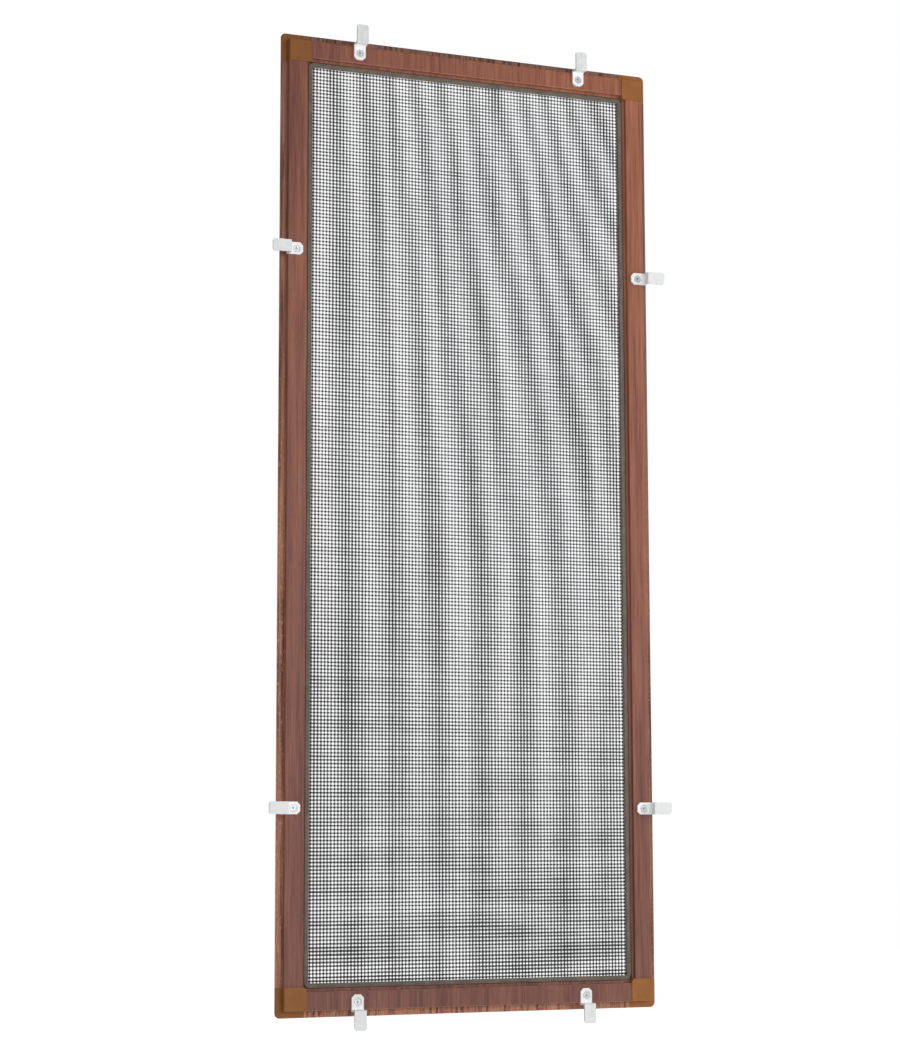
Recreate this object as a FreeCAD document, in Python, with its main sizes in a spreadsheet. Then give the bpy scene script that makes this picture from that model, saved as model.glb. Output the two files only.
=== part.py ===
import FreeCAD, Part
import os
import Sketcher
from FreeCAD import Placement, Rotation, Vector

# Window insect screen: an extruded frame with a set-back outer flange, four corner pieces whose legs seat in
# the hollow profiles, woven mesh held by a spline in a groove, and turn clips that grip the window frame.
# Frame: +Z up, X across, the room side faces -Y. The flange's bearing plane is Y = 0, centred on the origin.

doc = FreeCAD.newDocument("window_screen")
sheet = doc.addObject("Spreadsheet::Sheet", "sizes")

# Driving sizes in millimetres
SIZES = [
    ("frame_width", 400.0), ("frame_height", 964.0),
    ("flange_width", 6.8), ("flange_thickness", 1.6), ("flange_edge_bevel", 1.0),
    ("box_width", 17.8), ("box_rise", 6.9), ("box_edge_radius", 0.9), ("profile_wall", 1.3),
    ("ledge_width", 2.8), ("ledge_drop", 4.0),
    ("groove_width", 3.2), ("groove_floor", 1.2), ("lip_width", 1.2), ("lip_drop", 2.0),
    ("corner_length", 29.0), ("corner_radius", 5.0), ("corner_box_radius", 1.6), ("corner_proud", 0.8),
    ("corner_notch", 2.2), ("corner_edge_bevel", 0.5),
    ("leg_length", 36.0), ("leg_clearance", 0.1), ("leg_lead_in", 1.2),
    ("leg_rib_width", 1.6), ("leg_rib_pitch", 6.0), ("leg_rib_depth", 0.6),
    ("mesh_wall", 0.4), ("mesh_pitch", 3.5), ("yarn_width", 1.0), ("yarn_rise", 0.3), ("mesh_tuck", 1.4),
    ("mesh_band", 15.5),
    ("spline_width", 4.6), ("spline_rise", 1.2), ("spline_stem", 2.1), ("spline_stem_depth", 1.9),
    ("spline_turn", 1.4), ("spline_edge_bevel", 0.5), ("spline_overhang", 0.6),
    ("clip_width", 12.0), ("clip_thickness", 2.0), ("clip_reach", 12.4), ("clip_rise", 9.0),
    ("clip_tip", 7.0), ("clip_tip_chamfer", 3.0), ("clip_tab_radius", 2.6), ("clip_bend_bevel", 0.7),
    ("clip_lift", 0.1), ("clip_from_side", 80.0), ("clip_from_top", 220.0), ("clip_from_bottom", 198.0),
    ("screw_inset", 7.4), ("screw_radius", 1.75), ("screw_clearance", 0.05), ("dish_radius", 4.5),
    ("screw_sink", 0.5), ("screw_length", 6.5), ("screw_point", 1.5), ("recess_length", 4.0), ("recess_width", 0.8),
    ("recess_depth", 1.0),
]
for row, (name, value) in enumerate(SIZES, start=1):
    sheet.set(f"A{row}", name)
    sheet.set(f"B{row}", str(value))
    sheet.setAlias(f"B{row}", name)
doc.recompute()


class Size:
    """A length that knows its value and the spreadsheet formula behind it."""

    def __init__(self, value, formula):
        self.value = value
        self.formula = formula

    def __add__(self, other):
        other = as_size(other)
        return Size(self.value + other.value, f"({self.formula} + {other.formula})")

    def __sub__(self, other):
        other = as_size(other)
        return Size(self.value - other.value, f"({self.formula} - {other.formula})")

    def __mul__(self, factor):
        return Size(self.value * factor, f"({self.formula} * {factor!r})")

    def __truediv__(self, factor):
        return Size(self.value / factor, f"({self.formula} / {factor!r})")

    def __neg__(self):
        return self * -1


def as_size(number):
    return number if isinstance(number, Size) else Size(float(number), repr(float(number)))


def size(name):
    return Size(dict(SIZES)[name], f"sizes.{name}")


def bind(item, prop, length):
    item.setExpression(prop, as_size(length).formula)


# Stations across the profile, inward from the frame's outer edge
zero = as_size(0)
box_outer = size("flange_width")
box_inner = box_outer + size("box_width")
groove_outer = box_inner + size("ledge_width")
groove_inner = groove_outer + size("groove_width")
profile_width = groove_inner + size("lip_width")
screw_line = box_outer + size("screw_inset")

# Levels through the profile: the back is at positive Y, the room side at negative Y
back = size("flange_thickness")
box_front = -size("box_rise")
ledge_front = box_front + size("ledge_drop")
lip_front = ledge_front + size("lip_drop")
floor_front = back - size("groove_floor")
web_back = lip_front - size("yarn_rise")
web_front = web_back - size("mesh_wall")
mesh_front = web_front - size("yarn_rise")

half_width = size("frame_width") / 2
half_height = size("frame_height") / 2
corner = size("corner_length")

# The four directions in which a profile faces inward, as turns about Y from the left side
TURN = {"left": 0, "right": 180, "top": 90, "bottom": -90}


def new_body(label):
    body = doc.addObject("PartDesign::Body", label)
    body.Label = label
    return body


def origin_plane(body, role):
    return next(item for item in body.Origin.OriginFeatures if item.Role == role)


def new_sketch(body, name, role, offset=zero):
    sketch = body.newObject("Sketcher::SketchObject", f"{body.Name}_{name}")
    sketch.AttachmentSupport = [(origin_plane(body, role), "")]
    sketch.MapMode = "FlatFace"
    bind(sketch, "AttachmentOffset.Base.z", offset)
    return sketch


def pin_point(sketch, curve, end, x, y):
    """Hold one point of a curve at a place measured from the sketch's origin."""
    for kind, axis, length in (("DistanceX", -2, x), ("DistanceY", -1, y)):
        if length is zero:
            sketch.addConstraint(Sketcher.Constraint("PointOnObject", curve, end, axis))
        else:
            index = sketch.addConstraint(Sketcher.Constraint(kind, -1, 1, curve, end, length.value))
            bind(sketch, f"Constraints[{index}]", length)


def draw_outline(sketch, corners):
    """Draw a closed outline through the given corners."""
    points = [Vector(x.value, y.value, 0) for x, y in corners]
    first = sketch.GeometryCount
    for start, end in zip(points, points[1:] + points[:1]):
        sketch.addGeometry(Part.LineSegment(start, end), False)
    count = len(corners)
    for step in range(count):
        here = first + step
        following = first + (step + 1) % count
        sketch.addConstraint(Sketcher.Constraint("Coincident", here, 2, following, 1))
    for step, (x, y) in enumerate(corners):
        pin_point(sketch, first + step, 1, x, y)


def draw_rectangle(sketch, x_low, x_high, y_low, y_high):
    draw_outline(sketch, [(x_low, y_low), (x_high, y_low), (x_high, y_high), (x_low, y_high)])


def draw_circle(sketch, x, y, radius):
    circle = sketch.addGeometry(Part.Circle(Vector(x.value, y.value, 0), Vector(0, 0, 1), radius.value), False)
    pin_point(sketch, circle, 3, x, y)
    index = sketch.addConstraint(Sketcher.Constraint("Radius", circle, radius.value))
    bind(sketch, f"Constraints[{index}]", radius)


def extrude(body, kind, sketch, length, both_ways=False, backwards=False):
    feature = body.newObject(f"PartDesign::{kind}", f"{sketch.Name}_{kind}")
    feature.Profile = sketch
    bind(feature, "Length", length)
    feature.Midplane = both_ways
    feature.Reversed = backwards
    doc.recompute()
    return feature


def revolve(body, kind, sketch):
    """Turn a half section once round the sketch's upright axis, to add it or to cut it away."""
    feature = body.newObject(f"PartDesign::{kind}", f"{sketch.Name}_{kind}")
    feature.Profile = sketch
    feature.ReferenceAxis = (sketch, ["V_Axis"])
    feature.Angle = 360
    doc.recompute()
    return feature


def line_edges(feature, direction, wanted):
    """Names of the straight edges along a direction whose midpoints pass the test."""
    names = []
    for number, edge in enumerate(feature.Shape.Edges, start=1):
        if not isinstance(edge.Curve, Part.Line):
            continue
        along = edge.tangentAt(edge.FirstParameter)
        if abs(along.dot(direction)) > 0.999 and wanted(edge.CenterOfMass):
            names.append(f"Edge{number}")
    return names


def dress(body, kind, base, edges, amount):
    """Round or bevel the named edges of a feature."""
    feature = body.newObject(f"PartDesign::{kind}", f"{base.Name}_{kind}")
    feature.Base = (base, edges)
    bind(feature, "Radius" if kind == "Fillet" else "Size", amount)
    doc.recompute()
    return feature


def near(value, length):
    return abs(value - as_size(length).value) < 0.01


def place(item, x, y, z, side):
    item.Placement = Placement(Vector(), Rotation(Vector(0, 1, 0), TURN[side]))
    for axis, length in (("x", x), ("y", y), ("z", z)):
        bind(item, f"Placement.Base.{axis}", length)


AXIS = {"x": Vector(1, 0, 0), "y": Vector(0, 1, 0), "z": Vector(0, 0, 1)}


def make_member(label, side, frame_length, screw_stations, x, z):
    """One side of the frame: hollow box, outer flange, ledge and spline groove, with its inner ends mitred."""
    body = new_body(label)
    wall = size("profile_wall")
    section = new_sketch(body, "section", "XY_Plane")
    draw_outline(section, [
        (zero, back), (profile_width, back), (profile_width, lip_front), (groove_inner, lip_front),
        (groove_inner, floor_front), (groove_outer, floor_front), (groove_outer, ledge_front),
        (box_inner, ledge_front), (box_inner, box_front), (box_outer, box_front), (box_outer, zero), (zero, zero)])
    draw_outline(section, [
        (box_outer + wall, back - wall), (groove_outer - wall, back - wall),
        (groove_outer - wall, ledge_front + wall), (box_inner - wall, ledge_front + wall),
        (box_inner - wall, box_front + wall), (box_outer + wall, box_front + wall)])
    length = frame_length - corner * 2
    bar = extrude(body, "Pad", section, length, both_ways=True)
    # Rounded edges of the box, bevelled front edge of the flange
    on_box = line_edges(bar, AXIS["z"], lambda p: near(p.y, box_front))
    bar = dress(body, "Fillet", bar, on_box, size("box_edge_radius"))
    on_flange = line_edges(bar, AXIS["z"], lambda p: near(p.x, 0) and near(p.y, 0))
    bar = dress(body, "Chamfer", bar, on_flange, size("flange_edge_bevel"))
    # Mitres where the inner lips of two sides meet
    mitre = new_sketch(body, "mitre", "XZ_Plane", -back)
    depth = profile_width - corner
    for sign in (1, -1):
        end = length / 2 * sign
        draw_outline(mitre, [(corner, end), (profile_width, end), (profile_width, end - depth * sign)])
    bar = extrude(body, "Pocket", mitre, back - box_front, backwards=True)
    # Screw holes through the front wall
    holes = new_sketch(body, "screw_holes", "XZ_Plane")
    for station in screw_stations:
        draw_circle(holes, screw_line, station, size("screw_radius") + size("screw_clearance"))
    bar = extrude(body, "Pocket", holes, size("box_rise") * 2, backwards=True)
    body.Tip = bar
    place(body, x, zero, z, side)
    return body


def make_corner(label, side, x, z):
    """Moulded corner: flange and box continued round the turn, with one ribbed leg for each hollow profile."""
    body = new_body(label)
    wall = size("profile_wall")
    slack = size("leg_clearance")
    plate = new_sketch(body, "flange", "XZ_Plane", -back)
    draw_rectangle(plate, zero, corner, zero, corner)
    block = extrude(body, "Pad", plate, back)
    block = dress(body, "Fillet", block, line_edges(block, AXIS["y"], lambda p: near(p.x, 0) and near(p.z, 0)),
                  size("corner_radius"))
    # Bevelled front edge round the outside of the flange
    outside = [f"Edge{number}" for number, edge in enumerate(block.Shape.Edges, start=1)
               if near(edge.CenterOfMass.y, 0)
               and min(edge.CenterOfMass.x, edge.CenterOfMass.z) < size("corner_radius").value / 2]
    block = dress(body, "Chamfer", block, outside, size("flange_edge_bevel"))
    raised = new_sketch(body, "box", "XZ_Plane")
    draw_rectangle(raised, box_outer, corner, box_outer, corner)
    block = extrude(body, "Pad", raised, size("box_rise") + size("corner_proud"))
    turn = line_edges(block, AXIS["y"], lambda p: near(p.x, box_outer) and near(p.z, box_outer))
    block = dress(body, "Fillet", block, turn, size("corner_box_radius"))
    # Notch that lets the spline turn the corner
    notch = new_sketch(body, "notch", "XZ_Plane", -lip_front)
    inset = corner - size("corner_notch")
    draw_outline(notch, [(corner, corner), (inset, corner), (corner, inset)])
    block = extrude(body, "Pocket", notch, size("box_rise") * 2, backwards=True)
    # Bevelled front edge along the two outer walls
    rim = [f"Edge{number}" for number, edge in enumerate(block.Shape.Edges, start=1)
           if near(edge.CenterOfMass.y, box_front - size("corner_proud"))
           and min(edge.CenterOfMass.x, edge.CenterOfMass.z) < box_outer.value + 1]
    block = dress(body, "Chamfer", block, rim, size("corner_edge_bevel"))
    # Legs, each a sliding fit in the chamber of the profile beside it
    low = box_outer + wall + slack
    high = box_inner - wall - slack
    tip = corner + size("leg_length")
    leg_back = back - wall - slack
    leg_front = box_front + wall + slack
    legs = new_sketch(body, "legs", "XZ_Plane", -leg_back)
    draw_rectangle(legs, low, high, corner - wall, tip)
    block = extrude(body, "Pad", legs, leg_back - leg_front)
    across = new_sketch(body, "cross_leg", "XZ_Plane", -leg_back)
    draw_rectangle(across, corner - wall, tip, low, high)
    block = extrude(body, "Pad", across, leg_back - leg_front)
    # Lead-in bevels at the tips
    ends = [f"Edge{number}" for number, edge in enumerate(block.Shape.Edges, start=1)
            if near(max(edge.CenterOfMass.x, edge.CenterOfMass.z), tip)]
    block = dress(body, "Chamfer", block, ends, size("leg_lead_in"))
    # Grooves between the gripping ribs on the front of each leg
    pitch = size("leg_rib_pitch")
    grooves = new_sketch(body, "leg_grooves", "XZ_Plane", -leg_front)
    for step in range(1, int(size("leg_length").value / pitch.value)):
        start = corner + pitch * step
        end = start + pitch - size("leg_rib_width")
        draw_rectangle(grooves, low - slack, high + slack, start, end)
        draw_rectangle(grooves, start, end, low - slack, high + slack)
    block = extrude(body, "Pocket", grooves, size("leg_rib_depth"))
    body.Tip = block
    place(body, x, zero, z, side)
    return body


def make_mesh(label):
    """Mesh: a thin wall tucked into the groove, opened as a net of bands, with yarns as ridges along the bands."""
    body = new_body(label)
    edge_x = half_width - groove_inner + size("mesh_wall")
    edge_z = half_height - groove_inner + size("mesh_wall")
    open_x = half_width - profile_width
    open_z = half_height - profile_width
    web = new_sketch(body, "web", "XZ_Plane", -web_back)
    draw_rectangle(web, -edge_x, edge_x, -edge_z, edge_z)
    extrude(body, "Pad", web, size("mesh_wall"))
    hem = new_sketch(body, "tuck", "XZ_Plane", -web_back)
    draw_rectangle(hem, -edge_x, edge_x, -edge_z, edge_z)
    wall = size("mesh_wall")
    draw_rectangle(hem, wall - edge_x, edge_x - wall, wall - edge_z, edge_z - wall)
    extrude(body, "Pad", hem, size("mesh_tuck"), backwards=True)

    def pattern(feature, direction, span, occurrences):
        repeat = body.newObject("PartDesign::LinearPattern", f"{feature.Name}_pattern")
        repeat.Originals = [feature]
        repeat.Direction = (origin_line(body, direction), [""])
        bind(repeat, "Length", span)
        repeat.Occurrences = occurrences
        body.Tip = repeat
        doc.recompute()

    # Openings, one row repeated upwards
    across, up = 7, 17
    step_x = open_x * 2 / across
    step_z = open_z * 2 / up
    gap_x = (step_x - size("mesh_band")) / 2
    gap_z = (step_z - size("mesh_band")) / 2
    openings = new_sketch(body, "openings", "XZ_Plane", -web_back)
    low_z = step_z / 2 - open_z
    for column in range(across):
        x = step_x * (column + 0.5) - open_x
        draw_rectangle(openings, x - gap_x, x + gap_x, low_z - gap_z, low_z + gap_z)
    cut = extrude(body, "Pocket", openings, size("mesh_wall"), backwards=True)
    pattern(cut, "Z_Axis", step_z * (up - 1), up)

    # Yarns along the bands, and along the half bands at the edges of the opening
    yarns = 4
    pitch = size("mesh_pitch")
    half_yarn = size("yarn_width") / 2
    in_band = [pitch * (count - (yarns - 1) / 2) for count in range(yarns)]
    at_edge = [offset for offset in in_band if offset.value > 0]

    def upright_yarn(sketch, x):
        draw_rectangle(sketch, x - half_yarn, x + half_yarn, -edge_z, edge_z)

    def level_yarn(sketch, z):
        draw_rectangle(sketch, -edge_x, edge_x, z - half_yarn, z + half_yarn)

    for name, draw, level, step, count, reach, axis, behind in (
            ("upright", upright_yarn, web_front, step_x, across, open_x, "X_Axis", False),
            ("level", level_yarn, web_back, step_z, up, open_z, "Z_Axis", True)):
        band = new_sketch(body, f"{name}_yarns", "XZ_Plane", -level)
        for offset in in_band:
            draw(band, step - reach + offset)
        ridges = extrude(body, "Pad", band, size("yarn_rise"), backwards=behind)
        pattern(ridges, axis, step * (count - 2), count - 1)
        edge = new_sketch(body, f"{name}_edge_yarns", "XZ_Plane", -level)
        for offset in at_edge:
            draw(edge, offset - reach)
            draw(edge, reach - offset)
        body.Tip = extrude(body, "Pad", edge, size("yarn_rise"), backwards=behind)
    return body


def origin_line(body, role):
    return next(item for item in body.Origin.OriginFeatures if item.Role == role)


def make_spline(label):
    """Cord pressed into the groove over the mesh: a bevelled head all round and a stem along each side."""
    body = new_body(label)
    inner_x = half_width - profile_width - size("spline_overhang")
    inner_z = half_height - profile_width - size("spline_overhang")
    outer_x = inner_x + size("spline_width")
    outer_z = inner_z + size("spline_width")
    ring = new_sketch(body, "head", "XZ_Plane", -mesh_front)
    draw_rectangle(ring, -outer_x, outer_x, -outer_z, outer_z)
    draw_rectangle(ring, -inner_x, inner_x, -inner_z, inner_z)
    cord = extrude(body, "Pad", ring, size("spline_rise"))
    turns = line_edges(cord, AXIS["y"], lambda p: near(abs(p.x), inner_x))
    cord = dress(body, "Fillet", cord, turns, size("spline_turn"))
    turns = line_edges(cord, AXIS["y"], lambda p: near(abs(p.x), outer_x))
    cord = dress(body, "Fillet", cord, turns, size("spline_turn") + size("spline_width"))
    rim = [f"Edge{number}" for number, edge in enumerate(cord.Shape.Edges, start=1)
           if near(edge.CenterOfMass.y, mesh_front - size("spline_rise"))]
    cord = dress(body, "Chamfer", cord, rim, size("spline_edge_bevel"))
    # Stems down in the groove, clear of the corners
    stem_x = half_width - groove_inner + size("mesh_wall")
    stem_z = half_height - groove_inner + size("mesh_wall")
    far_x = stem_x + size("spline_stem")
    far_z = stem_z + size("spline_stem")
    end_x = stem_x - size("spline_turn") - size("spline_width")
    end_z = stem_z - size("spline_turn") - size("spline_width")
    stems = new_sketch(body, "stems", "XZ_Plane", -mesh_front)
    draw_rectangle(stems, -far_x, -stem_x, -end_z, end_z)
    draw_rectangle(stems, stem_x, far_x, -end_z, end_z)
    draw_rectangle(stems, -end_x, end_x, -far_z, -stem_z)
    draw_rectangle(stems, -end_x, end_x, stem_z, far_z)
    cord = extrude(body, "Pad", stems, size("spline_stem_depth"), backwards=True)
    body.Tip = cord
    return body


pad_back = box_front - size("clip_lift")
pad_front = pad_back - size("clip_thickness")
tab_front = pad_front - size("clip_rise")
tab_back = tab_front + size("clip_thickness")
DISH_SLOPE = 0.6
head_front = pad_front + size("screw_sink")
head_radius = size("dish_radius") - size("screw_sink") / DISH_SLOPE - size("screw_clearance") * 2


def make_clip(label, side, x, z):
    """Stepped turn clip: a pad on the box, a riser at the box's edge and a tab that reaches over the flange."""
    body = new_body(label)
    inner = -size("screw_inset")
    outer = inner - size("clip_thickness")
    tab_end = -screw_line - size("clip_reach")
    tip = size("clip_tip")
    section = new_sketch(body, "section", "XY_Plane")
    draw_outline(section, [
        (tip, pad_back), (outer, pad_back), (outer, tab_back), (tab_end, tab_back), (tab_end, tab_front),
        (inner, tab_front), (inner, pad_front), (tip, pad_front)])
    step = extrude(body, "Pad", section, size("clip_width"), both_ways=True)
    bends = line_edges(step, AXIS["z"], lambda p: near(p.x, inner) or near(p.x, outer))
    step = dress(body, "Chamfer", step, bends, size("clip_bend_bevel"))
    ends = line_edges(step, AXIS["y"], lambda p: near(p.x, tab_end))
    step = dress(body, "Fillet", step, ends, size("clip_tab_radius"))
    ends = line_edges(step, AXIS["y"], lambda p: near(p.x, tip))
    step = dress(body, "Chamfer", step, ends, size("clip_tip_chamfer"))
    # Hole that turns on the screw, dished wide at the front
    bore = size("screw_radius") + size("screw_clearance")
    dish = size("dish_radius")
    hole = new_sketch(body, "hole", "XY_Plane")
    draw_outline(hole, [
        (zero, pad_front - 1), (dish, pad_front - 1), (dish, pad_front),
        (bore, pad_front + (dish - bore) * DISH_SLOPE), (bore, pad_back + 1), (zero, pad_back + 1)])
    step = revolve(body, "Groove", hole)
    body.Tip = step
    place(body, x, zero, z, side)
    return body


def make_screw(label):
    """Countersunk screw with a cross recess, its head a little below the front of the clip's pad."""
    body = new_body(label)
    shank = size("screw_radius")
    neck = head_front + (head_radius - shank) * DISH_SLOPE
    end = pad_front + size("screw_length")
    half = new_sketch(body, "half_section", "XY_Plane")
    draw_outline(half, [(zero, head_front), (head_radius, head_front), (shank, neck),
                        (shank, end - size("screw_point")), (zero, end)])
    revolve(body, "Revolution", half)
    cross = new_sketch(body, "recess", "XZ_Plane", -head_front)
    arm = size("recess_length") / 2
    slot = size("recess_width") / 2
    draw_outline(cross, [
        (slot, slot), (slot, arm), (-slot, arm), (-slot, slot), (-arm, slot), (-arm, -slot),
        (-slot, -slot), (-slot, -arm), (slot, -arm), (slot, -slot), (arm, -slot), (arm, slot)])
    body.Tip = extrude(body, "Pocket", cross, size("recess_depth"))
    return body


# Places of the clips along the sides, from the frame's centre
upper = half_height - size("clip_from_top")
lower = size("clip_from_bottom") - half_height
beside = half_width - size("clip_from_side")
line_x = half_width - screw_line
line_z = half_height - screw_line
CLIPS = [
    ("clip_top_left", "top", -beside, line_z), ("clip_top_right", "top", beside, line_z),
    ("clip_left_upper", "left", -line_x, upper), ("clip_left_lower", "left", -line_x, lower),
    ("clip_right_upper", "right", line_x, upper), ("clip_right_lower", "right", line_x, lower),
    ("clip_bottom_left", "bottom", -beside, -line_z), ("clip_bottom_right", "bottom", beside, -line_z),
]

parts = [
    make_member("left_stile", "left", size("frame_height"), [upper, lower], -half_width, zero),
    make_member("right_stile", "right", size("frame_height"), [-upper, -lower], half_width, zero),
    make_member("top_rail", "top", size("frame_width"), [-beside, beside], zero, half_height),
    make_member("bottom_rail", "bottom", size("frame_width"), [-beside, beside], zero, -half_height),
    make_corner("corner_bottom_left", "left", -half_width, -half_height),
    make_corner("corner_bottom_right", "bottom", half_width, -half_height),
    make_corner("corner_top_right", "right", half_width, half_height),
    make_corner("corner_top_left", "top", -half_width, half_height),
    make_mesh("insect_mesh"),
    make_spline("mesh_spline"),
]
parts += [make_clip(label, side, x, z) for label, side, x, z in CLIPS]

# One screw for each clip, kept together as one group of separate solids
screw = make_screw("screw")
copies = []
for label, side, x, z in CLIPS:
    copy = doc.addObject("App::Link", f"screw_of_{label}")
    copy.LinkedObject = screw
    copy.LinkTransform = False
    place(copy, x, zero, z, side)
    copies.append(copy)
screws = doc.addObject("Part::Compound", "clip_screws")
screws.Label = "clip_screws"
screws.Links = copies
parts.append(screws)

doc.recompute()
for item in doc.Objects:
    if "Invalid" in item.State or "Error" in item.State:
        raise RuntimeError(f"{item.Label} did not build: {item.State}")
os.makedirs("parts", exist_ok=True)
for item in parts:
    shape = item.Shape
    if shape.isNull() or not shape.isValid():
        raise RuntimeError(f"{item.Label} has no valid shape")
for item in parts:
    item.Shape.exportStep(f"parts/{item.Label}.step")
    print(item.Label, len(item.Shape.Solids), "solids", round(item.Shape.Volume, 1), "mm3")
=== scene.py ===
# %% [markdown]
# # A window insect screen
# The real object is a light frame that hangs inside a window opening. Four profiles covered with
# wood-effect foil meet in four moulded corners, a dark woven mesh fills the opening, a soft cord
# holds the mesh in its groove, and eight pale clips turn on their screws to grip the window. The
# solids come from the CAD model and stay exactly where they are. This lesson gives each of them a
# finish, and replaces the two soft pieces, the mesh and the cord, by finer ones.

# %% Load the fixed frame
import math

import bpy
from mathutils import Matrix, Vector


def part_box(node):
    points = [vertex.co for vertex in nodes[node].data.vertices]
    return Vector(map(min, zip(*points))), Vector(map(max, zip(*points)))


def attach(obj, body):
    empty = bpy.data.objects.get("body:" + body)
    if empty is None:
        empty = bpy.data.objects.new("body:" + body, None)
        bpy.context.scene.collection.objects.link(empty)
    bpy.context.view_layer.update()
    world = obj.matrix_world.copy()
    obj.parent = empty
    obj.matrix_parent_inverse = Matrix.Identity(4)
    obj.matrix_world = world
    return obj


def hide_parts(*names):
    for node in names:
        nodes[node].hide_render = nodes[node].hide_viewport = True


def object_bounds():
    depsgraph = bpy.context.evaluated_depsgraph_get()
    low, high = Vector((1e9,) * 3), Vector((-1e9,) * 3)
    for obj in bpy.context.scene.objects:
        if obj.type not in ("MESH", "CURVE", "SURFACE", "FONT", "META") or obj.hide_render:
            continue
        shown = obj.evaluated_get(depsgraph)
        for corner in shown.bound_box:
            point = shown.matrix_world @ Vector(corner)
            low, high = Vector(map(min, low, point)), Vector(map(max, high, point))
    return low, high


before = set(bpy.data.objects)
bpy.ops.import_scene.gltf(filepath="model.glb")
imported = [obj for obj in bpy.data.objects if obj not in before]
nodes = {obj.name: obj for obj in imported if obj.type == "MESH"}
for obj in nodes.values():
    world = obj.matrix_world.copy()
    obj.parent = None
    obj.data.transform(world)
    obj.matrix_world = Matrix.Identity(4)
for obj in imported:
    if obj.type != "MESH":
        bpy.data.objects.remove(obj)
cad_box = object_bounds()
MM = 0.001

# %% [markdown]
# ## Tools for finishes
# Every finish is a small tree of shader nodes round one Principled shader. A few helpers keep the
# trees short: they add a node and set its sockets, do sums, stretch a noise, and turn a colour as
# it is seen on a screen into the linear light that the renderer works with. All patterns read
# Object coordinates, so they stay on the piece when it moves.


# %% Helpers for shader nodes
WHITE = (1, 1, 1, 1)
BLACK = (0, 0, 0, 1)


def grey(share):
    return (share, share, share, 1)


def seen_colour(red, green, blue):
    """A screen colour from 0 to 255 as linear light."""
    shares = [channel / 255 for channel in (red, green, blue)]
    linear = [s / 12.92 if s <= 0.04045 else ((s + 0.055) / 1.055) ** 2.4 for s in shares]
    return (*linear, 1.0)


def new_finish(name):
    finish = bpy.data.materials.new(name)
    finish.use_nodes = True
    return finish, finish.node_tree.nodes["Principled BSDF"]


def add(tree, kind, settings=None, **sockets):
    """Add a node; sockets hold either a value or the output that feeds them."""
    made = tree.nodes.new(kind)
    for key, value in (settings or {}).items():
        setattr(made, key, value)
    for label, value in sockets.items():
        feed(tree, made.inputs[label.replace("_", " ")], value)
    return made


def feed(tree, socket, value):
    if isinstance(value, bpy.types.NodeSocket):
        tree.links.new(value, socket)
    else:
        socket.default_value = value


def calculate(tree, operation, first, second=0.0):
    made = tree.nodes.new("ShaderNodeMath")
    made.operation = operation
    feed(tree, made.inputs[0], first)
    feed(tree, made.inputs[1], second)
    return made.outputs["Value"]


def on_piece(tree):
    """Object coordinates of the spot that is shaded."""
    return add(tree, "ShaderNodeTexCoord").outputs["Object"]


def along_axes(tree):
    """The same coordinates, one by one."""
    return add(tree, "ShaderNodeSeparateXYZ", Vector=on_piece(tree)).outputs


def rising(tree, value, start, end):
    """0 up to the start, 1 from the end on, and an even rise between them."""
    made = add(tree, "ShaderNodeMapRange", Value=value, From_Min=start, From_Max=end)
    return made.outputs["Result"]


def stretched_noise(tree, scale, detail=2.0, roughness=0.55):
    """Noise on Object coordinates, with its own scale along each axis, in cells per metre."""
    mapped = add(tree, "ShaderNodeMapping", Vector=on_piece(tree), Scale=scale)
    noise = add(tree, "ShaderNodeTexNoise", Vector=mapped.outputs["Vector"], Scale=1.0,
                Detail=detail, Roughness=roughness)
    return noise.outputs["Fac"]


def ramp(tree, factor, stops):
    """A colour ramp through (place, colour) stops."""
    made = add(tree, "ShaderNodeValToRGB", Fac=factor)
    points = made.color_ramp.elements
    while len(points) < len(stops):
        points.new(0.5)
    for point, (place, colour) in zip(points, stops):
        point.position = place
        point.color = colour
    return made.outputs["Color"]


def spread(tree, factor, low, high):
    """Stretch the middle of a noise to a range of plain values."""
    made = add(tree, "ShaderNodeMapRange", Value=factor, From_Min=0.3, From_Max=0.7,
               To_Min=low, To_Max=high)
    return made.outputs["Result"]


def weighted(tree, first, share, second):
    """Two noises added in the given share."""
    return calculate(tree, "ADD", calculate(tree, "MULTIPLY", first, share),
                     calculate(tree, "MULTIPLY", second, 1 - share))


def blend_colours(tree, mode, share, first, second):
    made = add(tree, "ShaderNodeMix", {"data_type": "RGBA", "blend_type": mode})
    for number, value in ((0, share), (6, first), (7, second)):
        feed(tree, made.inputs[number], value)
    return made.outputs[2]


def tinted(tree, colour, tint, share=1.0):
    return blend_colours(tree, "MULTIPLY", share, colour, tint)


def bumped(tree, height, strength, distance):
    made = add(tree, "ShaderNodeBump", Height=height, Strength=strength, Distance=distance)
    return made.outputs["Normal"]


def dress(finish, *labels):
    for label in labels:
        slots = nodes[label].data.materials
        slots.clear()
        slots.append(finish)
    print(finish.name, "on", ", ".join(labels))
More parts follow.
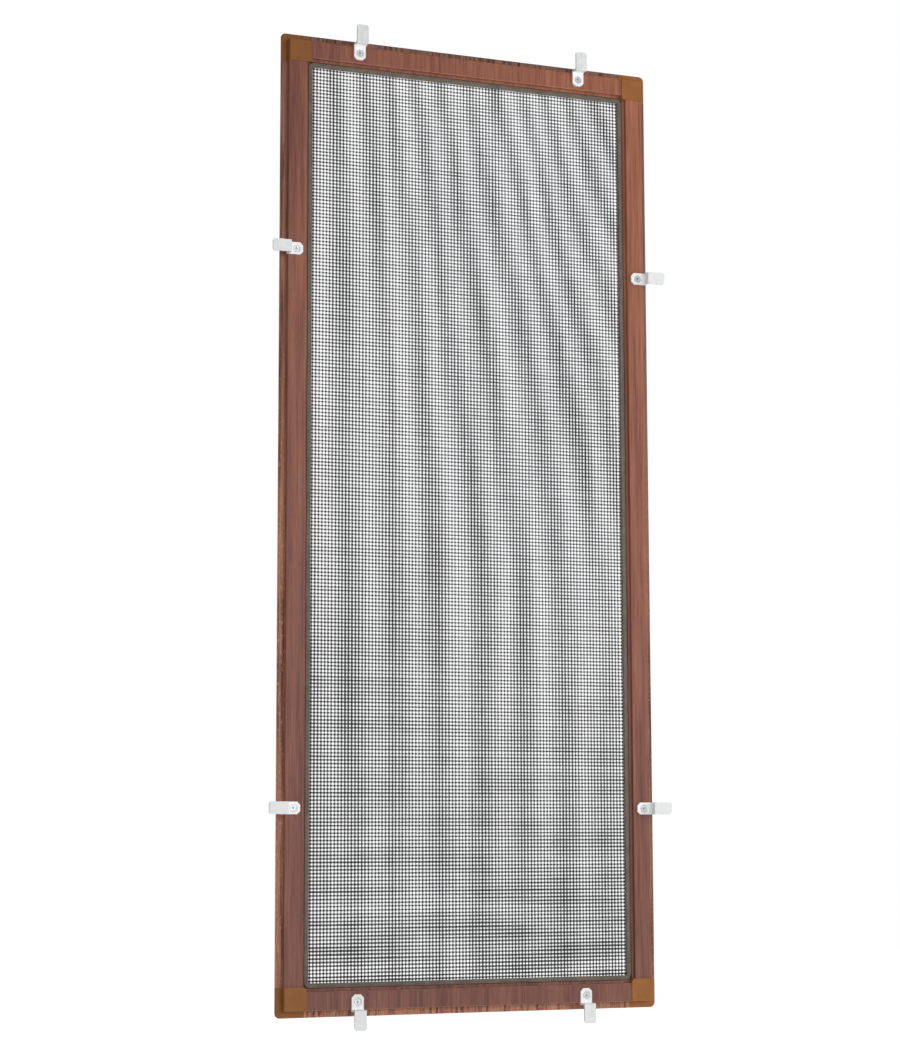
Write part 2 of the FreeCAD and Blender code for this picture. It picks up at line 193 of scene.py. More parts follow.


# %% [markdown]
# ## Wood-effect foil
# The profiles are wrapped in printed foil. Its grain runs upright on all four sides, also across
# the rails, as if the foil had been laid over the whole frame. Noise that is stretched along Z
# gives soft patches and streaks, a finer one the thin lines between them, and a very fine one the
# dark pores. The outer flange shows another strip of the print, more orange, with harder stripes
# and, low down, small light flecks. It lies further back than the box, so its depth along Y picks
# it out. Its upper part and its top and right edges are darkened by painted shade. On the box the
# red-brown of the top fades to a cooler brown at the foot, painted light makes the right side
# lighter and a little more orange than the left, most near the top, and the rounded front edges
# carry a painted highlight.

# %% Foil on the box
GRAIN_PATCHES = (40, 40, 5)
GRAIN_STREAKS = (270, 270, 9)
GRAIN_LINES = (900, 900, 26)
GRAIN_PORES = (1900, 1900, 110)
BOX_PRINT = [
    (0.36, seen_colour(110, 68, 58)), (0.45, seen_colour(130, 79, 65)), (0.54, seen_colour(141, 88, 71)),
    (0.62, seen_colour(148, 96, 76)), (0.70, seen_colour(128, 87, 78)),
]
FLANGE_PRINT = [
    (0.34, seen_colour(100, 60, 49)), (0.44, seen_colour(144, 92, 70)), (0.54, seen_colour(186, 130, 102)),
    (0.66, seen_colour(160, 112, 93)),
]
FLECKS = (520, 520, 240)
FLECK_TONE = seen_colour(214, 164, 134)
EDGE_HIGHLIGHT_TONE = seen_colour(184, 134, 114)
EDGE_HIGHLIGHT_SHARE = grey(0.4)
EDGE_FRONT, EDGE_BACK = -7.0 * MM, -5.5 * MM
FLANGE_FROM, FLANGE_TO = -3.0 * MM, -1.0 * MM
FOOT, HEAD = -0.48, 0.48
LEFT_EDGE, RIGHT_EDGE = -0.2, 0.2
FOOT_TINT = (0.80, 0.92, 1.06, 1)
RIGHT_PAINTED_LIGHT = (1.33, 1.34, 1.10, 1)

foil, shader = new_finish("wood_foil")
tree = foil.node_tree
patches = stretched_noise(tree, GRAIN_PATCHES)
streaks = stretched_noise(tree, GRAIN_STREAKS, detail=3.0, roughness=0.6)
fine = stretched_noise(tree, GRAIN_LINES, detail=3.0, roughness=0.6)
pores = stretched_noise(tree, GRAIN_PORES)
place = along_axes(tree)
height = rising(tree, place["Z"], FOOT, HEAD)
breadth = rising(tree, place["X"], LEFT_EDGE, RIGHT_EDGE)
edge_depth = rising(tree, place["Y"], EDGE_FRONT, EDGE_BACK)
box_print = ramp(tree, weighted(tree, streaks, 0.65, patches), BOX_PRINT)
box_print = tinted(tree, box_print, ramp(tree, height, [(0.0, FOOT_TINT), (0.65, WHITE)]))
# Painted light: the box turns lighter and more orange towards the right, most strongly near the top.
painted_light_to_right = ramp(tree, breadth, [(0.3, WHITE), (0.9, RIGHT_PAINTED_LIGHT)])
box_print = tinted(tree, box_print, painted_light_to_right, height)
# Painted highlight: the rounded front edges of the box get a lighter tone, picked out by depth along Y.
painted_edge_highlight = ramp(tree, edge_depth, [(0.08, BLACK), (0.2, EDGE_HIGHLIGHT_SHARE), (0.45, EDGE_HIGHLIGHT_SHARE), (0.7, BLACK)])
box_print = blend_colours(tree, "MIX", painted_edge_highlight, box_print, EDGE_HIGHLIGHT_TONE)
print("print of the box:", len(BOX_PRINT), "tones")

# %% Foil on the flange
UPPER_PAINTED_SHADE = (0.74, 0.76, 0.84, 1)
TOP_EDGE_PAINTED_SHADE = (0.54, 0.6, 0.7, 1)
RIGHT_EDGE_PAINTED_SHADE = (0.62, 0.64, 0.70, 1)
LINE_TONES = [(0.32, (0.72, 0.69, 0.68, 1)), (0.68, (1.2, 1.18, 1.16, 1))]
PORE_TONES = [(0.30, (0.55, 0.5, 0.48, 1)), (0.42, WHITE)]

flecks = ramp(tree, stretched_noise(tree, FLECKS), [(0.56, BLACK), (0.66, grey(0.6))])
flecks = tinted(tree, flecks, ramp(tree, height, [(0.45, WHITE), (0.75, grey(0.1))]))
flange_print = blend_colours(tree, "MIX", flecks, ramp(tree, streaks, FLANGE_PRINT), FLECK_TONE)
# Painted shade: the upper flange, its top edge and its right edge are darkened.
painted_head_shade = ramp(tree, height, [
    (0.5, WHITE), (0.85, UPPER_PAINTED_SHADE), (0.982, UPPER_PAINTED_SHADE), (0.994, TOP_EDGE_PAINTED_SHADE)])
painted_side_shade = ramp(tree, breadth, [(0.97, WHITE), (0.985, RIGHT_EDGE_PAINTED_SHADE)])
for shade in (painted_head_shade, painted_side_shade):
    flange_print = tinted(tree, flange_print, shade)
on_flange = rising(tree, place["Y"], FLANGE_FROM, FLANGE_TO)
printed = blend_colours(tree, "MIX", on_flange, box_print, flange_print)
grain = tinted(tree, printed, ramp(tree, fine, LINE_TONES), 0.7)
grain = tinted(tree, grain, ramp(tree, pores, PORE_TONES), 0.5)
feed(tree, shader.inputs["Base Color"], grain)
feed(tree, shader.inputs["Roughness"], spread(tree, fine, 0.40, 0.54))
feed(tree, shader.inputs["Normal"], bumped(tree, fine, 0.15, 0.12 * MM))
shader.inputs["Specular IOR Level"].default_value = 0.2
PROFILES = ["left_stile", "right_stile", "top_rail", "bottom_rail"]
dress(foil, *PROFILES)

# %% [markdown]
# ## Moulded corners
# The corners are plain ochre-brown plastic. A moulding is never quite even: the colour drifts a
# little, and the skin has the fine orange peel of the tool. The pair on the right is painted
# paler than the pair on the left, as painted light from the right.

# %% Plastic on the four corners
corner_plastic, shader = new_finish("corner_plastic")
tree = corner_plastic.node_tree
drift = stretched_noise(tree, (55, 55, 40))
peel = stretched_noise(tree, (900, 900, 900))
tone = ramp(tree, drift, [(0.3, seen_colour(136, 87, 42)), (0.7, seen_colour(150, 97, 49))])
breadth = rising(tree, along_axes(tree)["X"], LEFT_EDGE, RIGHT_EDGE)
# Painted light: the corners are paler towards the right.
corner_painted_light = ramp(tree, breadth, [(0.2, (0.88, 0.86, 0.78, 1)), (0.8, (1.1, 1.06, 0.96, 1))])
feed(tree, shader.inputs["Base Color"], tinted(tree, tone, corner_painted_light))
feed(tree, shader.inputs["Roughness"], spread(tree, drift, 0.42, 0.52))
feed(tree, shader.inputs["Normal"], bumped(tree, peel, 0.12, 0.1 * MM))
shader.inputs["Specular IOR Level"].default_value = 0.2
CORNERS = ["corner_top_left", "corner_top_right", "corner_bottom_left", "corner_bottom_right"]
dress(corner_plastic, *CORNERS)

# %% [markdown]
# ## Clips and screws
# The clips are pale grey plastic, slightly glossy. Painted light makes the pad whiter than the tab
# that fingers turn. The screws are bright steel with a brushed look: metal shows its grain in the
# roughness more than in the colour. Each head is painted darker towards its rim and in the recess,
# as painted shade. The distance to the nearest screw's middle picks that out, and because the
# screws stand in mirrored pairs, four middles are enough.

# %% Plastic on the clips
TAB_DEPTH, PAD_DEPTH = -16 * MM, -13 * MM

clip_plastic, shader = new_finish("clip_plastic")
tree = clip_plastic.node_tree
cloud = stretched_noise(tree, (160, 160, 160))
# Painted light: the pad gets a whiter tone than the tab, chosen by depth along Y.
tab_in_painted_shade = ramp(tree, cloud, [(0.3, seen_colour(221, 222, 222)), (0.7, seen_colour(231, 232, 232))])
pad_in_painted_light = ramp(tree, cloud, [(0.3, seen_colour(240, 241, 241)), (0.7, seen_colour(247, 248, 248))])
near_screw = rising(tree, along_axes(tree)["Y"], TAB_DEPTH, PAD_DEPTH)
feed(tree, shader.inputs["Base Color"], blend_colours(tree, "MIX", near_screw, tab_in_painted_shade, pad_in_painted_light))
feed(tree, shader.inputs["Roughness"], spread(tree, cloud, 0.30, 0.40))
CLIPS = sorted(label for label in nodes if label.startswith("clip_") and label != "clip_screws")
dress(clip_plastic, *CLIPS)

# %% Steel on the screws
SCREW_PLACES = ((120.0, 467.8), (120.0, -467.8), (185.8, 262.0), (185.8, -284.0))
HEAD_RADIUS = 3.6 * MM
RECESS_PAINTED_SHADE = (0.5, 0.51, 0.53, 1)
RIM_PAINTED_SHADE = (0.6, 0.61, 0.64, 1)

screw_steel, shader = new_finish("screw_steel")
tree = screw_steel.node_tree
brush = stretched_noise(tree, (2600, 2600, 500))
tone = ramp(tree, brush, [(0.3, seen_colour(184, 186, 188)), (0.7, seen_colour(222, 223, 224))])
place = along_axes(tree)
flat_place = add(tree, "ShaderNodeCombineXYZ", X=calculate(tree, "ABSOLUTE", place["X"]), Z=place["Z"])
nearest = HEAD_RADIUS
for screw_x, screw_z in SCREW_PLACES:
    gap = add(tree, "ShaderNodeVectorMath", {"operation": "DISTANCE"})
    feed(tree, gap.inputs[0], flat_place.outputs["Vector"])
    feed(tree, gap.inputs[1], (screw_x * MM, 0, screw_z * MM))
    nearest = calculate(tree, "MINIMUM", gap.outputs["Value"], nearest)
# Painted shade: each head is darker in its recess and towards its rim.
painted_screw_shade = ramp(tree, rising(tree, nearest, 0.0, HEAD_RADIUS), [
    (0.1, RECESS_PAINTED_SHADE), (0.42, WHITE), (0.62, WHITE), (0.92, RIM_PAINTED_SHADE)])
feed(tree, shader.inputs["Base Color"], tinted(tree, tone, painted_screw_shade))
feed(tree, shader.inputs["Roughness"], spread(tree, brush, 0.34, 0.5))
shader.inputs["Metallic"].default_value = 0.6
dress(screw_steel, "clip_screws")

# %% [markdown]
# ## Building with Geometry Nodes
# The mesh and its cord follow rules, so node trees make them. A tree takes its sizes from named
# inputs. The result is turned into a plain mesh and the modifier goes away, because only a plain
# mesh is kept with the object.


# %% Helpers for node trees
def new_tree(name, inputs):
    """A geometry tree with named inputs; returns the tree and its inputs' outputs by name."""
    tree = bpy.data.node_groups.new(name, "GeometryNodeTree")
    tree.interface.new_socket("Geometry", in_out="OUTPUT", socket_type="NodeSocketGeometry")
    for label, kind in inputs.items():
        tree.interface.new_socket(label, in_out="INPUT", socket_type=f"NodeSocket{kind}")
    entry = tree.nodes.new("NodeGroupInput")
    return tree, {label: entry.outputs[label] for label in inputs}


def vector(tree, x=0.0, y=0.0, z=0.0):
    return add(tree, "ShaderNodeCombineXYZ", X=x, Y=y, Z=z).outputs["Vector"]


def close_tree(tree, geometry, material):
    """End a tree with real geometry and one material."""
    real = add(tree, "GeometryNodeRealizeInstances", Geometry=geometry)
    painted = add(tree, "GeometryNodeSetMaterial", Geometry=real.outputs["Geometry"], Material=material)
    end = tree.nodes.new("NodeGroupOutput")
    tree.links.new(painted.outputs["Geometry"], end.inputs["Geometry"])


def grow(name, tree, values):
    """Run a tree with the given inputs and keep the result as a plain mesh."""
    carrier = bpy.data.objects.new(f"{name}_carrier", bpy.data.meshes.new(f"{name}_carrier"))
    bpy.context.scene.collection.objects.link(carrier)
    modifier = carrier.modifiers.new("nodes", "NODES")
    modifier.node_group = tree
    for item in tree.interface.items_tree:
        if item.in_out == "INPUT":
            modifier[item.identifier] = values[item.name]
    depsgraph = bpy.context.evaluated_depsgraph_get()
    mesh = bpy.data.meshes.new_from_object(carrier.evaluated_get(depsgraph))
    mesh.name = name
    bpy.data.objects.remove(carrier)
    piece = bpy.data.objects.new(name, mesh)
    bpy.context.scene.collection.objects.link(piece)
    triangles = sum(len(face.vertices) - 2 for face in mesh.polygons)
    print(name, triangles, "triangles")
    return piece


# %% [markdown]
# ## Yarn of the mesh
# The yarn is grey and dull. Each yarn gets its own tone from an attribute that the tree stores on
# it, so some lines of the mesh look darker than their neighbours, as they do on the real cloth.
# Where two yarns cross, painted shade makes them nearly black, and the stretches between the
# crossings are painted paler.

# %% Where the yarns cross
PITCH = 3.5 * MM
mesh_low, mesh_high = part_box("insect_mesh")
upright_count = round((mesh_high.x - mesh_low.x) / PITCH) - 1
level_count = round((mesh_high.z - mesh_low.z) / PITCH) - 1


def crossings(tree):
    """1 where an upright and a level yarn cross, 0 half way between two crossings."""
    place = along_axes(tree)
    waves = []
    for axis, count in (("X", upright_count), ("Z", level_count)):
        start = 0.0 if count % 2 else 0.5
        turn = calculate(tree, "ADD", calculate(tree, "DIVIDE", place[axis], PITCH), start)
        wave = calculate(tree, "COSINE", calculate(tree, "MULTIPLY", turn, 2 * math.pi))
        waves.append(calculate(tree, "ADD", calculate(tree, "MULTIPLY", wave, 0.5), 0.5))
    return calculate(tree, "MULTIPLY", *waves)


# %% Finish of the yarn
YARN_TONES = [(0.0, seen_colour(36, 37, 38)), (1.0, seen_colour(112, 113, 114))]
CROSSING_PAINTED_SHADE = [(0.15, grey(4.9)), (0.63, grey(0.05))]
FIBRE_TONES = [(0.3, grey(0.8)), (0.7, grey(1.15))]

yarn_finish, shader = new_finish("mesh_yarn")
tree = yarn_finish.node_tree
own_tone = add(tree, "ShaderNodeAttribute", {"attribute_name": "yarn_tone"})
yarn_colour = ramp(tree, own_tone.outputs["Fac"], YARN_TONES)
# Painted shade at the crossings, painted paler stretches between them.
yarn_colour = tinted(tree, yarn_colour, ramp(tree, crossings(tree), CROSSING_PAINTED_SHADE))
fibre = stretched_noise(tree, (2400, 2400, 2400))
feed(tree, shader.inputs["Base Color"], tinted(tree, yarn_colour, ramp(tree, fibre, FIBRE_TONES)))
feed(tree, shader.inputs["Roughness"], spread(tree, fibre, 0.62, 0.78))
shader.inputs["Specular IOR Level"].default_value = 0.25
print("yarn finish ready")

# %% [markdown]
# ## Weaving the mesh
# The CAD model has the mesh as one ridged wall. The real one is a plain weave: every upright yarn
# passes in front of one level yarn and behind the next. The tree below makes one yarn with a point
# at each crossing, repeats it across the opening, moves the points in front and behind by turns,
# and gives the yarns a flat diamond section. One run makes the upright yarns and a second one,
# turned by a right angle and one step out of phase, the level yarns. Yarns are never quite even.
# Thicker and darker stretches lie side by side in upright bands, which fan out towards the top
# right. Low down the bands fade, and level streaks take their place.

# %% Sizes of the weave
UPRIGHT_WIDTH = 1.54 * MM
LEVEL_WIDTH = 1.42 * MM
YARN_DEPTH = 0.5 * MM
HEM_WALL = 0.4 * MM
HEM_START = -1.2 * MM
MESH_FRONT = mesh_low.y
MESH_BACK = -0.9 * MM
mesh_level = (MESH_FRONT + MESH_BACK) / 2
weave_rise = (MESH_BACK - MESH_FRONT - YARN_DEPTH) / 2
print(upright_count, "upright and", level_count, "level yarns")

# %% Tree of one set of yarns
weave, given = new_tree("weave", {
    "Yarns": "Int", "Points": "Int", "Pitch": "Float", "Yarn Width": "Float", "Yarn Depth": "Float",
    "Rise": "Float", "Level": "Float", "Phase": "Int", "Turn": "Float", "Banding": "Float",
    "Streaking": "Float", "Lightness": "Float", "Closed Ends": "Bool", "Seed": "Int",
    "Material": "Material"})


def half_span(count):
    """Distance from the middle of a row of points to its first point, as a negative length."""
    gaps = calculate(weave, "SUBTRACT", count, 1.0)
    return calculate(weave, "MULTIPLY", calculate(weave, "MULTIPLY", gaps, given["Pitch"]), -0.5)


one_yarn = add(weave, "GeometryNodeMeshLine", Count=given["Points"],
               Start_Location=vector(weave, z=half_span(given["Points"])),
               Offset=vector(weave, z=given["Pitch"]))
yarn_line = add(weave, "GeometryNodeMeshToCurve", Mesh=one_yarn.outputs["Mesh"])
row = add(weave, "GeometryNodeMeshLine", Count=given["Yarns"],
          Start_Location=vector(weave, x=half_span(given["Yarns"])),
          Offset=vector(weave, x=given["Pitch"]))
placed = add(weave, "GeometryNodeInstanceOnPoints", Points=row.outputs["Mesh"],
             Instance=yarn_line.outputs["Curve"])
lines = add(weave, "GeometryNodeRealizeInstances", Geometry=placed.outputs["Instances"])
print("inputs of the weave:", ", ".join(given))

# %% In front and behind by turns
SWAY = 0.05


def drawn(low, high, seed):
    """A random value for each yarn."""
    made = add(weave, "FunctionNodeRandomValue", {"data_type": "FLOAT"}, ID=yarn_number, Seed=seed)
    for number, value in ((2, low), (3, high)):
        made.inputs[number].default_value = value
    return made.outputs[1]


index = add(weave, "GeometryNodeInputIndex").outputs["Index"]
yarn_number = calculate(weave, "FLOOR", calculate(weave, "DIVIDE", index, given["Points"]))
point_number = calculate(weave, "MODULO", index, given["Points"])
steps = calculate(weave, "ADD", yarn_number, point_number)
odd = calculate(weave, "MODULO", calculate(weave, "ADD", steps, given["Phase"]), 2.0)
side = calculate(weave, "SUBTRACT", 1.0, calculate(weave, "MULTIPLY", odd, 2.0))
across = calculate(weave, "MULTIPLY", side, given["Rise"])
sideways = calculate(weave, "MULTIPLY", drawn(-SWAY, SWAY, given["Seed"]), given["Pitch"])
woven = add(weave, "GeometryNodeSetPosition", Geometry=lines.outputs["Geometry"],
            Offset=vector(weave, x=sideways, y=across))
print("yarns may stand", SWAY, "of the pitch off their places")

# %% Bands and streaks in the weave
BAND_SPACING = 45 * MM
BANDS_WANDER = 1.3
FAN = 1.7
FAN_FROM = -0.15
STREAKS_FROM, STREAKS_FULL = -0.05, -0.4
BANDS_LOST_LOW = 0.6
WANDER_CELLS, WANDER_SEED = (11.0, 11.0, 2.4), 5.0
PATCH_CELLS, PATCH_SEED = (34.0, 34.0, 3.4), 0.0
STREAK_CELLS, STREAK_SEED = (7.0, 7.0, 46.0), 9.0


def uneven(place, stretch, seed, low, high):
    """Stretched noise as a plain value from low to high."""
    spot = add(weave, "ShaderNodeVectorMath", {"operation": "MULTIPLY"})
    feed(weave, spot.inputs[0], place)
    feed(weave, spot.inputs[1], stretch)
    noise = add(weave, "ShaderNodeTexNoise", {"noise_dimensions": "4D"},
                Vector=spot.outputs["Vector"], W=seed, Scale=1.0, Detail=2.0)
    return spread(weave, noise.outputs["Fac"], low, high)


in_yarn = add(weave, "GeometryNodeInputPosition").outputs["Position"]
in_mesh = add(weave, "ShaderNodeVectorRotate", {"rotation_type": "Y_AXIS"}, Vector=in_yarn,
              Angle=given["Turn"]).outputs["Vector"]
spot = add(weave, "ShaderNodeSeparateXYZ", Vector=in_mesh).outputs
from_left = calculate(weave, "ADD", spot["X"], mesh_high.x)
above = calculate(weave, "MAXIMUM", calculate(weave, "SUBTRACT", spot["Z"], FAN_FROM), 0.0)
lean = calculate(weave, "MULTIPLY", calculate(weave, "MULTIPLY", above, above), FAN)
fanned = calculate(weave, "ADD", spot["X"], calculate(weave, "MULTIPLY", from_left, lean))
across_bands = calculate(weave, "MULTIPLY", fanned, 2 * math.pi / BAND_SPACING)
wander = uneven(in_mesh, WANDER_CELLS, WANDER_SEED, -BANDS_WANDER, BANDS_WANDER)
waves = calculate(weave, "SINE", calculate(weave, "ADD", across_bands, wander))
patchy = uneven(in_mesh, PATCH_CELLS, PATCH_SEED, -1.0, 1.0)
bands = calculate(weave, "MULTIPLY", calculate(weave, "ADD", waves, patchy), given["Banding"])
low_down = rising(weave, spot["Z"], STREAKS_FROM, STREAKS_FULL)
fading = calculate(weave, "SUBTRACT", 1.0, calculate(weave, "MULTIPLY", low_down, BANDS_LOST_LOW))
streaks = uneven(in_mesh, STREAK_CELLS, STREAK_SEED, -0.1, 1.0)
streaks = calculate(weave, "MULTIPLY", calculate(weave, "MULTIPLY", streaks, low_down),
                    given["Streaking"])
thicker = calculate(weave, "ADD", calculate(weave, "MULTIPLY", bands, fading), streaks)
print("bands", round(BAND_SPACING / MM), "mm apart")

# %% Thickness and tone of each yarn
DASH_CELLS, DASH_SHARE = (290.0, 290.0, 40.0), 0.14
TONE_LOW, TONE_HIGH = 0.32, 0.68
TONE_SEED_STEP = 7.0
DARKER_WHERE_THICK = 1.5

dashes = uneven(in_yarn, DASH_CELLS, given["Seed"], -DASH_SHARE, DASH_SHARE)
girth = calculate(weave, "ADD", calculate(weave, "ADD", thicker, dashes), 1.0)
own = drawn(TONE_LOW, TONE_HIGH, calculate(weave, "ADD", given["Seed"], TONE_SEED_STEP))
lightness = calculate(weave, "SUBTRACT", own,
                      calculate(weave, "MULTIPLY", thicker, DARKER_WHERE_THICK))
lightness = calculate(weave, "ADD", lightness, given["Lightness"])
toned = add(weave, "GeometryNodeStoreNamedAttribute", {"data_type": "FLOAT", "domain": "POINT"},
            Geometry=woven.outputs["Geometry"], Name="yarn_tone", Value=lightness)
section = add(weave, "GeometryNodeCurvePrimitiveCircle", Resolution=4, Radius=0.5)
flat_section = add(weave, "GeometryNodeTransform", Geometry=section.outputs["Curve"],
                   Scale=vector(weave, x=given["Yarn Width"], y=given["Yarn Depth"], z=1.0))
tubes = add(weave, "GeometryNodeCurveToMesh", Curve=toned.outputs["Geometry"],
            Profile_Curve=flat_section.outputs["Geometry"], Scale=girth, Fill_Caps=given["Closed Ends"])
smooth = add(weave, "GeometryNodeSetShadeSmooth", Geometry=tubes.outputs["Mesh"])
turned = add(weave, "GeometryNodeTransform", Geometry=smooth.outputs["Geometry"],
             Translation=vector(weave, y=given["Level"]), Rotation=vector(weave, y=given["Turn"]))
close_tree(weave, turned.outputs["Geometry"], given["Material"])
print("weave tree:", len(weave.nodes), "nodes")

# %% Weave both ways
weave_sizes = {"Pitch": PITCH, "Yarn Depth": YARN_DEPTH, "Rise": weave_rise, "Level": mesh_level,
               "Material": yarn_finish}
upright_yarns = grow("insect_mesh_upright_yarns", weave, {
    **weave_sizes, "Yarns": upright_count, "Points": level_count + 2, "Yarn Width": UPRIGHT_WIDTH,
    "Phase": 0, "Turn": 0.0, "Banding": 0.16, "Streaking": 0.14, "Lightness": 0.0, "Closed Ends": True,
    "Seed": 3})
level_yarns = grow("insect_mesh_level_yarns", weave, {
    **weave_sizes, "Yarns": level_count, "Points": upright_count + 2, "Yarn Width": LEVEL_WIDTH,
    "Phase": 1, "Turn": math.pi / 2, "Banding": 0.085, "Streaking": 0.46, "Lightness": 0.12,
    "Closed Ends": False, "Seed": 11})

# %% [markdown]
# ## Hem of the mesh
# Round its edge the mesh is bent back into the groove. A thin upright strip all round stands for
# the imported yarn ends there.


# %% Strip along the hem
def ring_points(reach_x, reach_z, y):
    return [(-reach_x, y, -reach_z), (reach_x, y, -reach_z), (reach_x, y, reach_z), (-reach_x, y, reach_z)]


hem_points = []
for y in (HEM_START, mesh_high.y):
    hem_points += ring_points(mesh_high.x, mesh_high.z, y)
    hem_points += ring_points(mesh_high.x - HEM_WALL, mesh_high.z - HEM_WALL, y)
hem_faces = []
for here in range(4):
    after = (here + 1) % 4
    hem_faces += [
        (here, after, 4 + after, 4 + here), (8 + after, 8 + here, 12 + here, 12 + after),
        (after, here, 8 + here, 8 + after), (4 + here, 4 + after, 12 + after, 12 + here)]
hem_mesh = bpy.data.meshes.new("insect_mesh_hem")
hem_mesh.from_pydata(hem_points, [], hem_faces)
hem_mesh.materials.append(yarn_finish)
hem = bpy.data.objects.new("insect_mesh_hem", hem_mesh)
bpy.context.scene.collection.objects.link(hem)
print("hem strip", len(hem_mesh.polygons), "faces")

for piece in (upright_yarns, level_yarns, hem):
    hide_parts("insect_mesh")
    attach(piece, "frame")

# %% [markdown]
# ## The cord in the groove
# A soft cord, the spline, presses the mesh into the groove all round. It is one length that follows
# the opening and turns the corners in a small curve. The tree sweeps a rounded section along a
# rectangle with rounded corners, and adds the four stems that sit down in the groove and stop short
# of the corners.

# %% Finish of the cord
cord_rubber, shader = new_finish("spline_rubber")
tree = cord_rubber.node_tree
cloud = stretched_noise(tree, (120, 120, 120), detail=3.0)
grit = stretched_noise(tree, (1300, 1300, 1300))
base = ramp(tree, cloud, [(0.3, seen_colour(90, 80, 70)), (0.7, seen_colour(116, 105, 93))])
dust = ramp(tree, grit, [(0.35, grey(0.78)), (0.65, grey(1.12))])
feed(tree, shader.inputs["Base Color"], tinted(tree, base, dust))
feed(tree, shader.inputs["Roughness"], spread(tree, cloud, 0.62, 0.78))
feed(tree, shader.inputs["Normal"], bumped(tree, grit, 0.25, 0.15 * MM))
shader.inputs["Specular IOR Level"].default_value = 0.3
print("cord finish ready")

# %% Tree of the cord
cord, given = new_tree("spline_cord", {
    "Width": "Float", "Height": "Float", "Head Width": "Float", "Head Rise": "Float", "Edge": "Float",
    "Turn": "Float", "Level": "Float", "Stem Width": "Float", "Stem Depth": "Float", "Stem Inset": "Float",
    "Stem Setback": "Float", "Material": "Material"})


def rounded_rectangle(width, height, radius, count):
    plain = add(cord, "GeometryNodeCurvePrimitiveQuadrilateral", {"mode": "RECTANGLE"},
                Width=width, Height=height)
    made = add(cord, "GeometryNodeFilletCurve", {"mode": "POLY"}, Curve=plain.outputs["Curve"],
               Count=count, Radius=radius, Limit_Radius=True)
    return made.outputs["Curve"]


TURN_STEPS, EDGE_STEPS = 12, 4
path = rounded_rectangle(given["Width"], given["Height"], given["Turn"], TURN_STEPS)
upright = add(cord, "GeometryNodeTransform", Geometry=path, Translation=vector(cord, y=given["Level"]),
              Rotation=(math.pi / 2, 0, 0))
head = rounded_rectangle(given["Head Rise"], given["Head Width"], given["Edge"], EDGE_STEPS)
swept = add(cord, "GeometryNodeCurveToMesh", Curve=upright.outputs["Geometry"], Profile_Curve=head)
shaded = add(cord, "GeometryNodeSetShadeSmooth", Geometry=swept.outputs["Mesh"])
print("inputs of the cord:", ", ".join(given))


# %% Stems of the cord
def stem_pair(run, reach, upright_run):
    """Two stems of a given run, one on each side of the opening at the given reach."""
    length = calculate(cord, "SUBTRACT", run, given["Stem Setback"])
    centre = calculate(cord, "SUBTRACT", calculate(cord, "MULTIPLY", reach, 0.5), given["Stem Inset"])
    if upright_run:
        bulk = vector(cord, given["Stem Width"], given["Stem Depth"], length)
    else:
        bulk = vector(cord, length, given["Stem Depth"], given["Stem Width"])
    bar = add(cord, "GeometryNodeMeshCube", Size=bulk)
    both_depths = calculate(cord, "ADD", given["Head Rise"], given["Stem Depth"])
    down = calculate(cord, "ADD", given["Level"], calculate(cord, "MULTIPLY", both_depths, 0.5))
    pair = []
    for sign in (-1.0, 1.0):
        shift = calculate(cord, "MULTIPLY", centre, sign)
        spot = vector(cord, shift, down, 0.0) if upright_run else vector(cord, 0.0, down, shift)
        pair.append(add(cord, "GeometryNodeTransform", Geometry=bar.outputs["Mesh"], Translation=spot))
    return pair


upright_stems = stem_pair(given["Height"], given["Width"], True)
level_stems = stem_pair(given["Width"], given["Height"], False)
whole = add(cord, "GeometryNodeJoinGeometry")
for part in [shaded] + upright_stems + level_stems:
    cord.links.new(part.outputs["Geometry"], whole.inputs["Geometry"])
close_tree(cord, whole.outputs["Geometry"], given["Material"])
print("cord tree:", len(cord.nodes), "nodes")

# %% Make the cord
cord_low, cord_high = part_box("mesh_spline")
HEAD_WIDTH = 4.6 * MM
HEAD_RISE = 1.2 * MM
CORD_TURN = 1.4 * MM
STEM_WIDTH = 2.1 * MM
STEM_FROM_RIM = 1.35 * MM
STEM_FROM_CORNER = 6.1 * MM
HEAD_EDGE = 0.5 * MM
spline_cord = grow("spline_cord", cord, {
    "Width": cord_high.x - cord_low.x - HEAD_WIDTH, "Height": cord_high.z - cord_low.z - HEAD_WIDTH,
    "Head Width": HEAD_WIDTH, "Head Rise": HEAD_RISE, "Edge": HEAD_EDGE, "Turn": CORD_TURN + HEAD_WIDTH / 2,
    "Level": cord_low.y + HEAD_RISE / 2, "Stem Width": STEM_WIDTH,
    "Stem Depth": cord_high.y - cord_low.y - HEAD_RISE, "Stem Inset": STEM_FROM_RIM - HEAD_WIDTH / 2,
    "Stem Setback": 2 * STEM_FROM_CORNER, "Material": cord_rubber})
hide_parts("mesh_spline")
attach(spline_cord, "frame")

# %% [markdown]
# ## Studio
# The light is plain and soft: a dim surround, one large softbox in front, a smaller one on each
# side, one far below that brightens the undersides, and one behind for the back. The floor lets the
# low light through. The background stays white for the camera, whatever light the surround gives.
# The floor is plain and pale, and lies well below the screen, which hangs clear of it.

